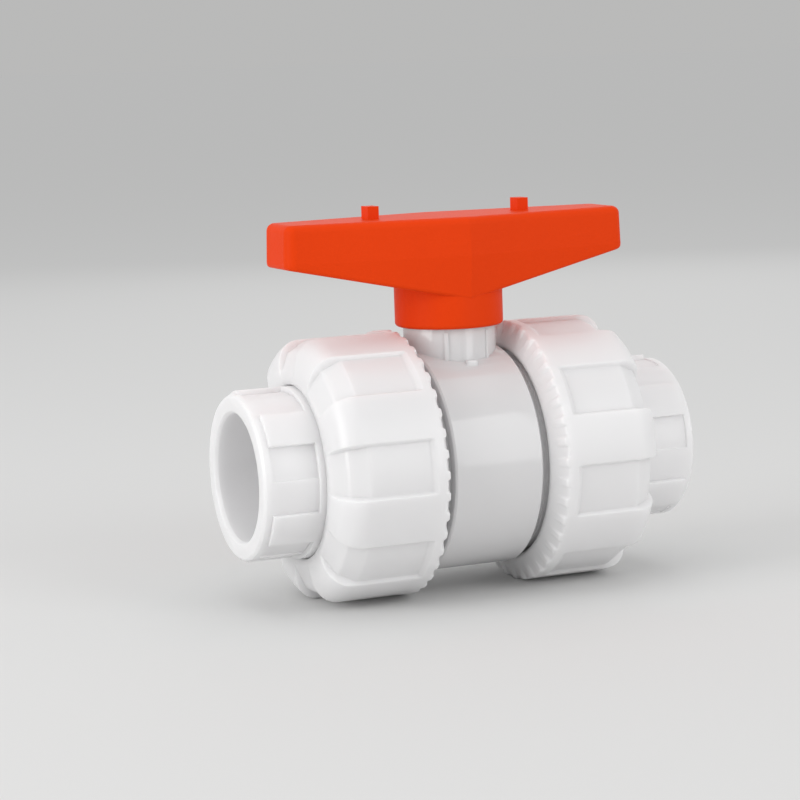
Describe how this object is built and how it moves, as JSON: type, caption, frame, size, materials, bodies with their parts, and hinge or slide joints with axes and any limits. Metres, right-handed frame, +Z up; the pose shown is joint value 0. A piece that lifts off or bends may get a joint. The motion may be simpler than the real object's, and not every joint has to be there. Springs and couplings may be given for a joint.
{
  "type": "true union ball valve",
  "caption": "In-line plastic ball valve with a union nut and plain pipe socket at each end and a red-orange quarter-turn bar handle on top.",
  "frame": {"origin": "on the pipe axis half way along the valve, straight below the ball's centre at the height of the undersides of the union nuts", "axes": "+X along the pipe, +Z up from the pipe to the handle, +Y across the pipe"},
  "size_m": [0.119, 0.0678, 0.0996],
  "materials": {
    "body_plastic": "smooth moulded, slightly milky",
    "union_plastic": "smooth moulded, slightly milky",
    "ball_plastic": "polished",
    "seat_plastic": "turned, waxy",
    "seal_rubber": "smooth",
    "handle_plastic": "satin moulded"
  },
  "bodies": {
    "housing": {"valve_body": "body_plastic", "ball_seat_left": "seat_plastic", "seat_cushion_ring_left": "seal_rubber", "stem_washer": "seat_plastic"},
    "stem": {"stem": "body_plastic", "stem_o_ring_lower": "seal_rubber", "stem_o_ring_upper": "seal_rubber", "ball": "ball_plastic"},
    "handle": {"handle": "handle_plastic"},
    "carrier": {"seat_carrier": "body_plastic", "carrier_o_ring": "seal_rubber", "ball_seat_right": "seat_plastic", "seat_cushion_ring_right": "seal_rubber"},
    "left_end": {"union_end_left": "union_plastic", "union_seal_left": "seal_rubber"},
    "left_nut": {"union_nut_left": "union_plastic"},
    "right_end": {"union_end_right": "union_plastic", "union_seal_right": "seal_rubber"},
    "right_nut": {"union_nut_right": "union_plastic"}
  },
  "joints": [
    {"name": "handle_turn", "type": "hinge", "parent": "housing", "child": "stem", "pos_m": [0, 0, 0.0339], "axis": [0, 0, 1], "range_deg": [-90, 0]},
    {"name": "handle_pull_off", "type": "slide", "parent": "stem", "child": "handle", "axis": [0, 0, 1], "range_m": [0, 0.02]},
    {"name": "carrier_turn", "type": "hinge", "parent": "housing", "child": "carrier", "pos_m": [0.02, 0, 0.0339], "axis": [1, 0, 0], "range_deg": [-45, 45]},
    {"name": "left_union_slide", "type": "slide", "parent": "housing", "child": "left_end", "axis": [-1, 0, 0], "range_m": [0, 0.0161]},
    {"name": "left_nut_turn", "type": "hinge", "parent": "left_end", "child": "left_nut", "pos_m": [-0.03, 0, 0.0339], "axis": [-1, 0, 0], "range_deg": [0, 1440]},
    {"name": "right_union_slide", "type": "slide", "parent": "housing", "child": "right_end", "axis": [1, 0, 0], "range_m": [0, 0.0161]},
    {"name": "right_nut_turn", "type": "hinge", "parent": "right_end", "child": "right_nut", "pos_m": [0.03, 0, 0.0339], "axis": [1, 0, 0], "range_deg": [0, 1440]}
  ],
  "couplings": [
    {"joint": "left_union_slide", "follows": "left_nut_turn", "m_per_rad": 0.00063662},
    {"joint": "right_union_slide", "follows": "right_nut_turn", "m_per_rad": 0.00063662}
  ]
}
